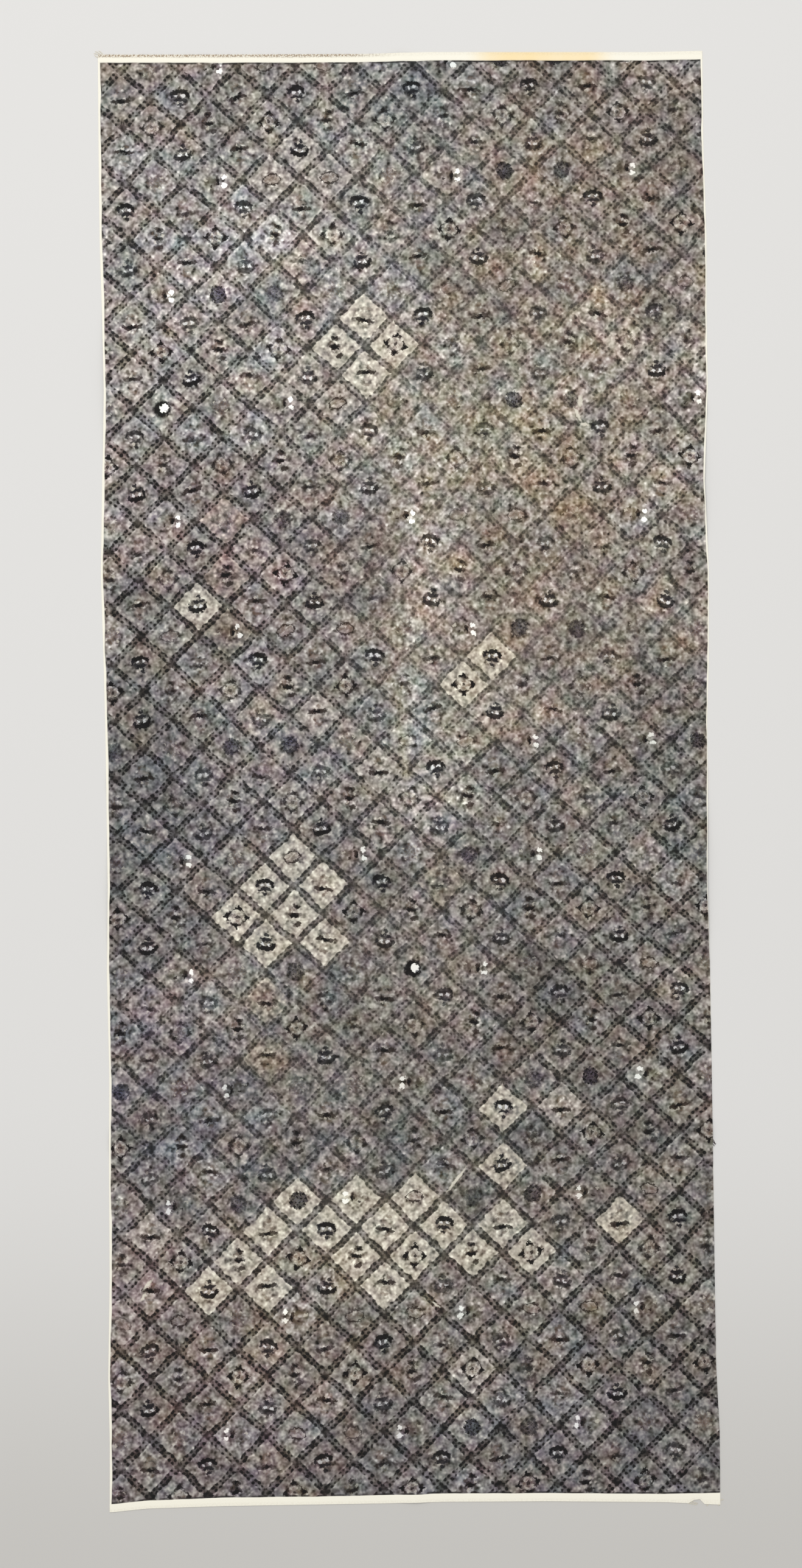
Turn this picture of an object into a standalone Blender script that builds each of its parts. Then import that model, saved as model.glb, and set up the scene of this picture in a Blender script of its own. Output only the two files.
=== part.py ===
"""Batik sarong: one uncut length of cotton, lying face up on a flat surface.

The cloth is a single sheet. Its long sides are the woven selvedges, and its short ends are narrow
turned hems, which are part of the same cloth. The outline wavers as hand-handled cloth does, and the
sheet is flat but for the soft creases of its storage folds and a few low lifts along its sides.

Units are metres. X runs across the cloth, Y along it and Z up. The origin is on the surface that the
cloth lies on, under the middle of its outline.

Run with: blender --background --python part.py
"""

import bpy
import numpy as np

# Driving dimensions
CLOTH_WIDTH = 1.050
CLOTH_LENGTH = 2.500
CLOTH_THICKNESS = 0.0012
HEM_THICKNESS = 0.0018
HEM_WIDTH = 0.014

# How finely the sheet is divided
SIDE_COLUMNS = 8
PANEL_ROWS = 5

# How far the two selvedges stand outside the plain rectangle, in metres.
# Columns: place along Y, left selvedge, right selvedge
SELVEDGE_WAVES = (
    (1.250, -0.0041, -0.0032),
    (1.100, -0.0037, -0.0035),
    (0.930, -0.0038, 0.0005),
    (0.800, -0.0066, -0.0008),
    (0.670, -0.0084, -0.0001),
    (0.510, -0.0034, -0.0076),
    (0.360, 0.0003, -0.0016),
    (0.200, -0.0028, -0.0035),
    (0.100, -0.0043, -0.0072),
    (-0.020, -0.0050, -0.0074),
    (-0.180, -0.0058, -0.0104),
    (-0.330, -0.0027, -0.0070),
    (-0.500, -0.0048, -0.0059),
    (-0.660, -0.0025, -0.0052),
    (-0.850, -0.0016, -0.0048),
    (-1.020, 0.0027, -0.0036),
    (-1.130, 0.0012, 0.0010),
    (-1.250, 0.0026, 0.0008),
)

# How far the two hemmed ends stand outside the plain rectangle, in metres.
# Columns: place along X, top end, bottom end
END_WAVES = (
    (-0.520, 0.0073, 0.0065),
    (-0.460, 0.0066, 0.0009),
    (-0.330, 0.0053, -0.0019),
    (-0.200, 0.0043, -0.0027),
    (-0.060, 0.0034, -0.0035),
    (0.050, 0.0053, -0.0052),
    (0.230, 0.0032, -0.0042),
    (0.430, 0.0012, -0.0005),
    (0.520, 0.0024, -0.0011),
)

# The crease that runs along the cloth at its middle, where it was folded in half.
CENTRE_CREASE_HEIGHT = 0.0024
CENTRE_CREASE_HALF_WIDTH = 0.030

# The creases that run across the cloth, where it was folded in quarters.
# Columns: place along Y, half width, height
CROSS_CREASES = (
    (0.625, 0.032, 0.0022),
    (0.000, 0.032, 0.0012),
    (-0.615, 0.032, 0.0022),
)

# The low lifts along the selvedges.
# Columns: side (-1 left, 1 right), place along Y, half length, reach inwards, height
SIDE_LIFTS = (
    (-1, 0.690, 0.150, 0.100, 0.0055),
    (-1, -0.190, 0.120, 0.080, 0.0035),
    (1, 0.500, 0.140, 0.100, 0.0050),
    (1, -0.160, 0.190, 0.110, 0.0060),
)

COTTON_COLOUR = (0.205, 0.190, 0.170, 1.0)
COTTON_ROUGHNESS = 0.85


def clear_scene():
    """Removes every object that the scene starts with."""
    for obj in list(bpy.data.objects):
        bpy.data.objects.remove(obj, do_unlink=True)


def soft_bump(distance, half_width):
    """1 at distance 0, falling smoothly to 0 at half_width and staying there: (1 - (d/w)^2)^2."""
    share = np.clip(1.0 - (distance / half_width) ** 2, 0.0, 1.0)
    return share**2


def interpolated(places, table, column):
    """The table's column read at the places, with the table's first column as the place."""
    rows = np.array(sorted(table))
    return np.interp(places, rows[:, 0], rows[:, column])


def column_lines():
    """The cloth's lines along Y, as x: even to each side, and closer at the centre crease."""
    half = CLOTH_WIDTH / 2
    crease = CENTRE_CREASE_HALF_WIDTH
    side = np.linspace(crease, half, SIDE_COLUMNS + 1)
    inner = np.array([0.0, crease / 2])
    right = np.concatenate([inner, side])
    return np.concatenate([-right[:0:-1], right])


def row_lines():
    """The cloth's lines along X, as y: even between the cross creases, and one at each hem's edge."""
    half = CLOTH_LENGTH / 2
    stops = [-half]
    lines = [-half]
    for place, width, _ in sorted(CROSS_CREASES):
        stops += [place - width, place + width]
        lines += [place - width / 2, place, place + width / 2]
    stops.append(half)
    lines.append(half)
    for low, high in zip(stops[0::2], stops[1::2]):
        lines += list(np.linspace(low, high, PANEL_ROWS * 2 + 1))
    lines += [HEM_WIDTH - half, half - HEM_WIDTH]
    return np.unique(np.round(lines, 6))


def outline(x, y):
    """Moves each plain point by its row's selvedge wave and its column's end wave.

    A point at the edge takes the whole wave, one at the middle takes none, and one between them
    takes the share of its distance from the middle.
    """
    across = x / (CLOTH_WIDTH / 2)
    along = y / (CLOTH_LENGTH / 2)
    left = interpolated(y, SELVEDGE_WAVES, 1)
    right = interpolated(y, SELVEDGE_WAVES, 2)
    top = interpolated(x, END_WAVES, 1)
    bottom = interpolated(x, END_WAVES, 2)
    shift_x = np.where(x < 0, -left, right) * np.abs(across)
    shift_y = np.where(y < 0, -bottom, top) * np.abs(along)
    return x + shift_x, y + shift_y


def relief(x, y):
    """The height of the cloth's underside: 0 but for the creases and the lifts at the sides."""
    height = CENTRE_CREASE_HEIGHT * soft_bump(x, CENTRE_CREASE_HALF_WIDTH)
    for place, half_width, crest in CROSS_CREASES:
        height = np.maximum(height, crest * soft_bump(y - place, half_width))
    for side, place, half_length, reach, crest in SIDE_LIFTS:
        inwards = CLOTH_WIDTH / 2 - side * x
        lift = crest * soft_bump(inwards, reach) * soft_bump(y - place, half_length)
        height = np.maximum(height, lift)
    return height


def cotton_material():
    """Plain dyed cotton."""
    material = bpy.data.materials.new("batik_cotton")
    material.use_nodes = True
    shader = material.node_tree.nodes["Principled BSDF"]
    shader.inputs["Base Color"].default_value = COTTON_COLOUR
    shader.inputs["Roughness"].default_value = COTTON_ROUGHNESS
    shader.inputs["Metallic"].default_value = 0.0
    return material


def cloth_sheet(collection):
    """The cloth: a grid laid on its lines, shaped by the outline and the relief, then thickened."""
    columns = column_lines()
    rows = row_lines()
    bpy.ops.mesh.primitive_grid_add(
        x_subdivisions=len(columns) - 1, y_subdivisions=len(rows) - 1, size=1.0
    )
    cloth = bpy.context.active_object
    cloth.name = "sarong_cloth"
    cloth.data.name = "sarong_cloth"

    points = np.empty(len(cloth.data.vertices) * 3)
    cloth.data.vertices.foreach_get("co", points)
    points = points.reshape(-1, 3)
    column = np.rint((points[:, 0] + 0.5) * (len(columns) - 1)).astype(int)
    row = np.rint((points[:, 1] + 0.5) * (len(rows) - 1)).astype(int)
    plain_x = columns[column]
    plain_y = rows[row]
    points[:, 0], points[:, 1] = outline(plain_x, plain_y)
    points[:, 2] = relief(plain_x, plain_y)
    cloth.data.vertices.foreach_set("co", points.ravel())

    # The group's weight is each point's share of the hem's thickness.
    group = cloth.vertex_groups.new(name="thickness")
    hem_start = CLOTH_LENGTH / 2 - HEM_WIDTH / 2
    in_hem = np.abs(plain_y) > hem_start
    group.add(np.flatnonzero(in_hem).tolist(), 1.0, "REPLACE")
    group.add(np.flatnonzero(~in_hem).tolist(), CLOTH_THICKNESS / HEM_THICKNESS, "REPLACE")

    # The grid is the underside, and the thickness is added above it.
    solidify = cloth.modifiers.new("thickness", "SOLIDIFY")
    solidify.thickness = HEM_THICKNESS
    solidify.offset = 1.0
    solidify.vertex_group = group.name
    solidify.thickness_vertex_group = 0.0

    cloth.data.shade_smooth()
    cloth.data.materials.append(cotton_material())
    for other in list(cloth.users_collection):
        other.objects.unlink(cloth)
    collection.objects.link(cloth)
    return cloth


clear_scene()
sarong = bpy.data.collections.new("batik_sarong")
bpy.context.scene.collection.children.link(sarong)
cloth_sheet(sarong)
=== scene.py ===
"""Batik sarong: the looks of one uncut length of dyed cotton, spread out face up on a pale floor.

Units are metres. X runs across the cloth, Y along it towards its upper end and Z up out of its face.
Sizes in a name that ends in MM are millimetres. Colours are written as the eye sees them, from 0 to
255, and are made linear where they are used.
"""

import bpy
import numpy as np
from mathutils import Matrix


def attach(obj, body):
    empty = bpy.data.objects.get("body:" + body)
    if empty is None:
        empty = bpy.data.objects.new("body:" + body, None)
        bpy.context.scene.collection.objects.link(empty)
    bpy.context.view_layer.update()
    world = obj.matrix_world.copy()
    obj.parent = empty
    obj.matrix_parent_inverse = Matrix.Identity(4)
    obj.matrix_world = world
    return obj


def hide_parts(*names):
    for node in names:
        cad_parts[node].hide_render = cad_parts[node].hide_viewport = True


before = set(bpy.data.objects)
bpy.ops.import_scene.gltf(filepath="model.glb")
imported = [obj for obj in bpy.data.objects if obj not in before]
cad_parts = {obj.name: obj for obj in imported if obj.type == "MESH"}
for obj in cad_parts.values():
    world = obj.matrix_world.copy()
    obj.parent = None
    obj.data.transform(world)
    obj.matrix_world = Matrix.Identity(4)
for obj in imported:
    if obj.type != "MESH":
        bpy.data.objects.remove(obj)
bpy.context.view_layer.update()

# The cloth
# A single length of fine plain-woven cotton, 1.05 m wide between its selvedges. It lies face up, and it
# keeps the soft creases of being folded for storage, in half along its middle and in eighths across.

CLOTH_WIDTH = 1.050
CLOTH_LENGTH = 2.500
CLOTH_THICKNESS = 0.0012
HEM_THICKNESS = 0.0018
HEM_WIDTH = 0.014
GRID_STEP = 0.0086

# How far the two selvedges stand outside the plain rectangle, in metres.
# Columns: place along Y, left selvedge, right selvedge
SELVEDGE_WAVES = (
    (1.250, -0.0041, -0.0032),
    (1.100, -0.0037, -0.0035),
    (0.930, -0.0038, 0.0005),
    (0.800, -0.0066, -0.0008),
    (0.670, -0.0084, -0.0001),
    (0.510, -0.0034, -0.0076),
    (0.360, 0.0003, -0.0016),
    (0.200, -0.0028, -0.0035),
    (0.100, -0.0043, -0.0072),
    (-0.020, -0.0050, -0.0074),
    (-0.180, -0.0058, -0.0104),
    (-0.330, -0.0027, -0.0070),
    (-0.500, -0.0048, -0.0059),
    (-0.660, -0.0025, -0.0052),
    (-0.850, -0.0016, -0.0048),
    (-1.020, 0.0027, -0.0036),
    (-1.130, 0.0012, 0.0010),
    (-1.250, 0.0026, 0.0008),
)

# How far the two hemmed ends stand outside the plain rectangle, in metres.
# Columns: place along X, top end, bottom end
END_WAVES = (
    (-0.520, 0.0073, 0.0065),
    (-0.460, 0.0066, 0.0009),
    (-0.330, 0.0053, -0.0019),
    (-0.200, 0.0043, -0.0027),
    (-0.060, 0.0034, -0.0035),
    (0.050, 0.0053, -0.0052),
    (0.230, 0.0032, -0.0042),
    (0.430, 0.0012, -0.0005),
    (0.520, 0.0024, -0.0011),
)

# How far the bottom hem's rim stands out near its right corner, where the fold has come undone.
# Columns: place along X, distance
HEM_FRAY = (
    (0.430, 0.0000),
    (0.470, 0.0025),
    (0.480, -0.0030),
    (0.490, -0.0040),
    (0.498, 0.0045),
    (0.525, 0.0060),
)

# The crease along the cloth's middle, and those across it. The crests are sharper than the slopes.
# Columns of the cross creases: place along Y, half width, height
CENTRE_CREASE = (0.030, 0.0024)
CROSS_CREASES = (
    (0.625, 0.032, 0.0022),
    (0.000, 0.032, 0.0012),
    (-0.615, 0.032, 0.0022),
)
CREST_HALF_WIDTH = 0.008
CREST_HEIGHT = 0.0005
MINOR_CREASES = (0.930, 0.318, 0.055, -0.300, -0.925)
MINOR_CREST_HEIGHT = 0.00035

# The low lifts along the selvedges.
# Columns: side (-1 left, 1 right), place along Y, half length, reach inwards, height
SIDE_LIFTS = (
    (-1, 0.690, 0.150, 0.100, 0.0055),
    (-1, -0.190, 0.120, 0.080, 0.0035),
    (1, 0.500, 0.140, 0.100, 0.0050),
    (1, -0.160, 0.190, 0.110, 0.0060),
)

# Faint wrinkles of the cloth's face: height, then waves a metre across and along, and a start in turns.
WRINKLES = (
    (0.00016, 2.1, 3.3, 0.10),
    (0.00012, -3.7, 5.2, 0.65),
    (0.00010, 6.4, -2.3, 0.30),
    (0.00008, 8.9, 9.6, 0.80),
)


def soft_bump(distance, half_width):
    """1 at distance 0, falling smoothly to 0 at half_width and staying there: (1 - (d/w)^2)^2."""
    share = np.clip(1.0 - (distance / half_width) ** 2, 0.0, 1.0)
    return share**2


def table_read(places, table, column):
    """The table's column read at the places, straight between its rows, by the table's first column."""
    rows = np.array(sorted(table))
    return np.interp(places, rows[:, 0], rows[:, column])


def outline(x, y):
    """Moves each plain point by its row's selvedge wave and its column's end wave.

    A point at the edge takes the whole wave, one at the middle takes none, and one between them takes
    the share of its distance from the middle. The bottom hem's rim takes its fray too, less further in.
    """
    across = np.abs(x) / (CLOTH_WIDTH / 2)
    along = np.abs(y) / (CLOTH_LENGTH / 2)
    shift_x = np.where(x < 0, -table_read(y, SELVEDGE_WAVES, 1), table_read(y, SELVEDGE_WAVES, 2))
    shift_y = np.where(y < 0, -table_read(x, END_WAVES, 2), table_read(x, END_WAVES, 1))
    in_hem = np.clip((HEM_WIDTH - CLOTH_LENGTH / 2 - y) / HEM_WIDTH, 0.0, 1.0)
    return x + shift_x * across, y + shift_y * along - table_read(x, HEM_FRAY, 1) * in_hem


def relief(x, y):
    """The underside's height: the highest of the creases and the side lifts, each a soft bump."""
    half_width, crest = CENTRE_CREASE
    height = crest * soft_bump(x, half_width)
    for place, half_width, crest in CROSS_CREASES:
        height = np.maximum(height, crest * soft_bump(y - place, half_width))
    for side, place, half_length, reach, crest in SIDE_LIFTS:
        inwards = CLOTH_WIDTH / 2 - side * x
        height = np.maximum(height, crest * soft_bump(inwards, reach) * soft_bump(y - place, half_length))
    return height


def face_height(x, y):
    """How far the face stands above the underside.

    It is the cloth's thickness, rising to the hem's over the hem, plus sharp crests on the creases and
    wrinkles, each a sine of a slanting line that is never below 0. They die out at the cloth's edge.
    """
    to_end = CLOTH_LENGTH / 2 - np.abs(y)
    to_side = CLOTH_WIDTH / 2 - np.abs(x)
    hem = np.clip((HEM_WIDTH - to_end) / 0.0016, 0.0, 1.0)
    height = CLOTH_THICKNESS + (HEM_THICKNESS - CLOTH_THICKNESS) * hem * hem * (3 - 2 * hem)
    crests = CREST_HEIGHT * soft_bump(x, CREST_HALF_WIDTH)
    for place, _, _ in CROSS_CREASES:
        crests = np.maximum(crests, CREST_HEIGHT * soft_bump(y - place, CREST_HALF_WIDTH))
    for place in MINOR_CREASES:
        crests = np.maximum(crests, MINOR_CREST_HEIGHT * soft_bump(y - place, CREST_HALF_WIDTH))
    wrinkles = 0.0
    for size, across, along, start in WRINKLES:
        wrinkles = wrinkles + size * (1 + np.sin(2 * np.pi * (across * x + along * y + start)))
    inside = np.clip(np.minimum(to_end - HEM_WIDTH, to_side) / 0.020, 0.0, 1.0)
    return height + (crests + wrinkles) * inside


def cloth_lines(length, step, special):
    """Even lines over the length, about a step apart, with the special places among them."""
    even = np.linspace(-length / 2, length / 2, int(round(length / step)) + 1)
    special = np.array(special)
    clear = np.min(np.abs(even[:, None] - special[None, :]), axis=1) > step * 0.3
    clear[[0, -1]] = True
    return np.unique(np.round(np.concatenate([even[clear], special]), 6))


CREST_LINES = np.array([-0.006, -0.003, 0.0, 0.003, 0.006])
HEM_LINES = CLOTH_LENGTH / 2 - np.array([0.0008, 0.0030, 0.0070, 0.0110, 0.0124, 0.0132, HEM_WIDTH, 0.0165])
SELVEDGE_LINES = CLOTH_WIDTH / 2 - np.array([0.0008, 0.0030])
fray_lines = [place for place, _ in HEM_FRAY[1:-1]]
cross_lines = [place + line for place, _, _ in CROSS_CREASES for line in CREST_LINES]
cross_lines += [place + line for place in MINOR_CREASES for line in CREST_LINES]
columns = cloth_lines(CLOTH_WIDTH, GRID_STEP, [*CREST_LINES, *fray_lines, *SELVEDGE_LINES, *-SELVEDGE_LINES])
rows = cloth_lines(CLOTH_LENGTH, GRID_STEP, [*cross_lines, *HEM_LINES, *-HEM_LINES])
plain_x, plain_y = np.meshgrid(columns, rows)
laid_x, laid_y = outline(plain_x, plain_y)
underside = relief(plain_x, plain_y)
face = underside + face_height(plain_x, plain_y)


def sheet_faces(row_count, column_count):
    """The corners of a closed sheet's faces: its face, then its underside, then the four edges.

    Point number row * columns + column is on the face, and the same number plus rows * columns is
    below it. Each quad's corners go round with its front outwards.
    """
    number = np.arange(row_count * column_count).reshape(row_count, column_count)
    a, b, c, d = number[:-1, :-1], number[:-1, 1:], number[1:, 1:], number[1:, :-1]
    top = np.stack([a, b, c, d], axis=-1).reshape(-1, 4)
    drop = row_count * column_count
    bottom = np.stack([a, d, c, b], axis=-1).reshape(-1, 4) + drop
    rim = np.concatenate([number[0, :-1], number[:-1, -1], number[-1, :0:-1], number[:0:-1, 0]])
    after = np.roll(rim, -1)
    edges = np.stack([rim, rim + drop, after + drop, after], axis=-1)
    return np.concatenate([top, bottom, edges])


def new_mesh(name, points, faces):
    """A mesh object at the origin, from an array of points and one of quads, shaded smooth."""
    mesh = bpy.data.meshes.new(name)
    mesh.vertices.add(len(points))
    mesh.vertices.foreach_set("co", points.astype(np.float32).ravel())
    mesh.loops.add(faces.size)
    mesh.loops.foreach_set("vertex_index", faces.astype(np.int32).ravel())
    mesh.polygons.add(len(faces))
    mesh.polygons.foreach_set("loop_start", np.arange(0, faces.size, 4, dtype=np.int32))
    mesh.update(calc_edges=True)
    mesh.validate()
    mesh.shade_smooth()
    piece = bpy.data.objects.new(name, mesh)
    bpy.context.scene.collection.objects.link(piece)
    return piece


cloth_faces = sheet_faces(len(rows), len(columns))
cloth_points = np.concatenate([
    np.stack([laid_x, laid_y, face], axis=-1).reshape(-1, 3),
    np.stack([laid_x, laid_y, underside], axis=-1).reshape(-1, 3),
])
cloth = new_mesh("batik_cloth", cloth_points, cloth_faces)
cloth.data.set_sharp_from_angle(angle=np.radians(50))

# The drawing on the cloth
# The batik maker drew slanting rows of diamonds by hand with a wax pen, so they wander. A place on the
# cloth has two line numbers: whole numbers are the middle of a diamond, and halves are on its sides.

# Rows a metre down the cloth and columns a metre across it, and the row and column at the origin.
ROWS_PER_METRE = -20.5
COLUMNS_PER_METRE = 19.9
ROW_AT_ORIGIN = 16.4
COLUMN_AT_ORIGIN = 1.12

# How far the hand-drawn lines stand from that even spacing, in rows and in columns. The rows stand lower
# to the left, sag towards the lower end and rise on the right above the middle. The columns lean to one
# side towards the top and bow to the other below the middle, more on the right.
DRAWN_HALF_WIDTH = 0.5
ROW_SLANT = 0.22
ROW_SAG = 0.45
ROW_RISE = 0.38
ROW_RISE_PLACE = 0.25
ROW_RISE_REACH = 0.85
COLUMN_LEAN = 0.50
COLUMN_BOW = 0.25
COLUMN_BOW_PLACE = -0.45
COLUMN_BOW_REACH = 0.90
COLUMN_BOW_GROWTH = 0.35


def drawn_lines(x, y):
    """The two line numbers of a place: half the sum and half the difference of its row and column.

    The row grows down the cloth and the column across it, each evenly but for its wander. The row's is
    slant * t - sag * low^2 - rise, where t is the share of the way from the middle to a side and low the
    share of the way down the lower half. The column's is lean * high^2 - bow. Rise and bow are soft bumps.
    """
    t = x / DRAWN_HALF_WIDTH
    low = np.clip(-y / (CLOTH_LENGTH / 2), 0.0, 1.0)
    high = np.clip(y / (CLOTH_LENGTH / 2), 0.0, 1.0)
    rise = ROW_RISE * soft_bump(y - ROW_RISE_PLACE, ROW_RISE_REACH) * np.maximum(t, 0.0)
    bow = COLUMN_BOW * soft_bump(y - COLUMN_BOW_PLACE, COLUMN_BOW_REACH) * (1 + COLUMN_BOW_GROWTH * t)
    row = ROW_AT_ORIGIN + ROWS_PER_METRE * y + ROW_SLANT * t - ROW_SAG * low**2 - rise
    column = COLUMN_AT_ORIGIN + COLUMNS_PER_METRE * x + COLUMN_LEAN * high**2 - bow
    return (row + column) / 2, (row - column) / 2


def add_uv(piece, name, first, second):
    """A UV map whose two numbers are given at each point of the mesh."""
    corners = np.empty(len(piece.data.loops), dtype=np.int32)
    piece.data.loops.foreach_get("vertex_index", corners)
    layer = piece.data.uv_layers.new(name=name)
    layer.uv.foreach_set("vector", np.stack([first, second], axis=-1)[corners].astype(np.float32).ravel())


def add_numbers(piece, name, first, second, third):
    """A named attribute of three numbers, given at each point of the mesh."""
    attribute = piece.data.attributes.new(name, "FLOAT_VECTOR", "POINT")
    attribute.data.foreach_set("vector", np.stack([first, second, third], axis=-1).astype(np.float32).ravel())


flat_x = np.tile(plain_x.ravel(), 2)
flat_y = np.tile(plain_y.ravel(), 2)
drawn_u, drawn_v = drawn_lines(cloth_points[:, 0], cloth_points[:, 1])
add_uv(cloth, "drawing", drawn_u, drawn_v)
add_uv(cloth, "laid", flat_x, flat_y)

# Wear and washing, and painted shade and highlights on the creases
# The dye has faded unevenly: more where the folds lay outermost and where the cloth sat on the hips,
# less along the sides and towards the lower end. The wax lines are hardest to see where it is worn.

# How light the plain filling looks where it has not faded, as the eye sees it, and the three broad
# stretches along the cloth where it has. Columns: place along Y, half length, change of lightness
UNFADED_LIGHTNESS = 121.0
FADED_STRETCHES = (
    (0.74, 0.78, 24),
    (0.06, 0.30, 9),
    (-0.90, 0.30, 6),
)

# Soft patches that are lighter or darker than that.
# Columns: place across, place along, reach across, reach along, change of lightness
LIGHTNESS_PATCHES = (
    (-0.22, 0.96, 0.20, 0.14, 15),
    (-0.42, 1.14, 0.24, 0.12, 6),
    (-0.40, 0.76, 0.18, 0.12, 8),
    (0.34, 1.10, 0.30, 0.18, -9),
    (0.47, 0.93, 0.10, 0.18, -16),
    (0.15, 0.86, 0.12, 0.16, -9),
    (-0.20, 0.42, 0.12, 0.10, -5),
    (0.02, 0.06, 0.12, 0.16, 18),
    (-0.47, 0.02, 0.10, 0.20, -15),
    (0.44, 0.10, 0.14, 0.14, -6),
    (0.29, 0.12, 0.08, 0.12, -5),
    (-0.30, -0.34, 0.09, 0.20, 10),
    (0.28, -0.40, 0.14, 0.14, -10),
    (-0.14, -0.80, 0.10, 0.12, 4),
    (0.15, -0.80, 0.10, 0.20, -4),
    (0.42, -0.98, 0.16, 0.24, -10),
    (-0.30, -1.00, 0.16, 0.16, 6),
)

# How worn the cloth is, from 0 to 1: wear fades the dark lines.
# Columns: place across, place along, reach across, reach along, wear
WEAR_PATCHES = (
    (0.14, 1.00, 0.50, 0.30, 0.42),
    (0.26, 0.66, 0.34, 0.30, 0.55),
    (0.02, 0.52, 0.16, 0.22, 0.48),
    (0.20, 0.25, 0.30, 0.16, 0.70),
    (0.18, 0.02, 0.44, 0.18, 0.30),
    (0.02, -0.27, 0.26, 0.14, 0.50),
    (-0.22, -0.52, 0.36, 0.22, 0.48),
    (0.06, -0.70, 0.36, 0.18, 0.25),
    (0.00, 0.34, 0.10, 0.18, 0.35),
    (0.40, 0.26, 0.18, 0.10, 0.40),
)

# Where the lines and figures took the dye most boldly, from 0 to 1.
# Columns: place across, place along, reach across, reach along, boldness
BOLD_PATCHES = (
    (-0.26, 1.02, 0.34, 0.26, 0.40),
    (-0.38, 0.66, 0.20, 0.12, 0.40),
    (-0.38, 0.26, 0.20, 0.10, 0.75),
    (-0.15, -0.14, 0.42, 0.14, 0.65),
    (0.50, -0.45, 0.10, 0.16, 1.00),
    (-0.25, -1.06, 0.60, 0.24, 1.00),
    (0.10, -0.62, 0.50, 0.08, 0.30),
)

# Where the cloth leans to brown or blue, and to green or rose.
# Columns: place across, place along, reach across, reach along, warmth, green
COLOUR_PATCHES = (
    (0.30, 0.98, 0.20, 0.26, 0.85, 0.10),
    (-0.36, 0.86, 0.30, 0.34, -0.32, -0.15),
    (-0.02, 0.94, 0.12, 0.14, -0.30, 0.15),
    (0.22, 0.50, 0.26, 0.26, 0.95, 0.10),
    (0.12, 0.60, 0.24, 0.16, 0.00, 1.10),
    (-0.26, 0.40, 0.20, 0.14, -0.10, -1.10),
    (0.02, 0.08, 0.12, 0.14, -0.10, 0.90),
    (0.16, 0.20, 0.34, 0.14, 0.45, 0.10),
    (-0.16, 0.08, 0.16, 0.14, -0.45, -0.30),
    (-0.30, -0.06, 0.22, 0.14, -0.35, -0.60),
    (-0.47, -0.06, 0.12, 0.22, -0.80, -0.10),
    (0.44, -0.06, 0.12, 0.14, -0.40, 0.40),
    (-0.46, -0.42, 0.12, 0.16, -0.50, -1.20),
    (-0.40, -0.62, 0.24, 0.10, -0.60, -0.50),
    (0.02, -0.62, 0.20, 0.08, -0.40, 0.30),
    (-0.46, -0.86, 0.12, 0.16, 0.05, -1.20),
    (-0.05, -0.80, 0.20, 0.14, 0.35, 0.60),
    (-0.30, -0.98, 0.24, 0.14, 0.55, -0.20),
    (-0.40, -1.16, 0.26, 0.12, -0.20, -1.30),
    (0.28, -1.18, 0.36, 0.14, -0.65, -0.80),
    (0.02, 1.18, 0.12, 0.10, -1.00, 0.10),
)

# The storage creases, as tones. The cloth is lighter just right of the middle fold, with painted shade
# in its hollow, and each cross fold has a thin line of painted shade, with a painted highlight above some.
MIDDLE_FOLD_TONE = 17
MIDDLE_FOLD_REACH = 0.15
MIDDLE_FOLD_EDGE = 0.002
MIDDLE_FOLD_SPAN = (0.20, 0.50)
MIDDLE_FOLD_PAINTED_SHADE = 4.25
MIDDLE_FOLD_HOLLOW_REACH = 0.22
# Columns: place along Y, half width, change of lightness
CROSS_FOLD_PAINTED_SHADE_AND_LIGHT = (
    (0.641, 0.011, -15),
    (0.672, 0.016, 7),
    (0.318, 0.009, -9),
    (0.055, 0.008, -6),
    (0.005, 0.009, -7),
    (-0.295, 0.010, -9),
    (-0.607, 0.012, -14),
    (-0.568, 0.014, 6),
    (-0.930, 0.012, -11),
    (-0.896, 0.012, 8),
    (-1.177, 0.010, -8),
)


def patches(x, y, table, column):
    """The sum of a table's soft patches: each is its amount times exp(-((dx/rx)^2 + (dy/ry)^2))."""
    total = 0.0
    for entry in table:
        place_x, place_y, reach_x, reach_y = entry[:4]
        away = ((x - place_x) / reach_x) ** 2 + ((y - place_y) / reach_y) ** 2
        total = total + entry[column] * np.exp(-away)
    return total


PLAIN_LIGHTNESS = 132.0
EYE_POWER = 2.2
lightness = UNFADED_LIGHTNESS + patches(flat_x, flat_y, LIGHTNESS_PATCHES, 4)
for place, half_length, change in FADED_STRETCHES:
    lightness = lightness + change * soft_bump(flat_y - place, half_length)
# Crease tones: lighter right of the middle fold, painted shade in its hollow, painted shade and highlights on
# cross folds.
fold_side = 0.5 + 0.5 * np.tanh(flat_x / MIDDLE_FOLD_EDGE)
fold_middle, fold_reach = MIDDLE_FOLD_SPAN
fold_share = np.clip(1 - ((flat_y - fold_middle) / fold_reach) ** 4, 0.0, 1.0)
lightness = lightness + MIDDLE_FOLD_TONE * fold_side * fold_share * soft_bump(flat_x, MIDDLE_FOLD_REACH)
lightness = lightness - MIDDLE_FOLD_PAINTED_SHADE * fold_share * soft_bump(flat_x, MIDDLE_FOLD_HOLLOW_REACH)
for place, half_width, change in CROSS_FOLD_PAINTED_SHADE_AND_LIGHT:
    lightness = lightness + change * soft_bump(flat_y - place, half_width)
wear = np.clip(patches(flat_x, flat_y, WEAR_PATCHES, 4), 0.0, 1.0)
warmth = patches(flat_x, flat_y, COLOUR_PATCHES, 4)
green = patches(flat_x, flat_y, COLOUR_PATCHES, 5)
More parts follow.
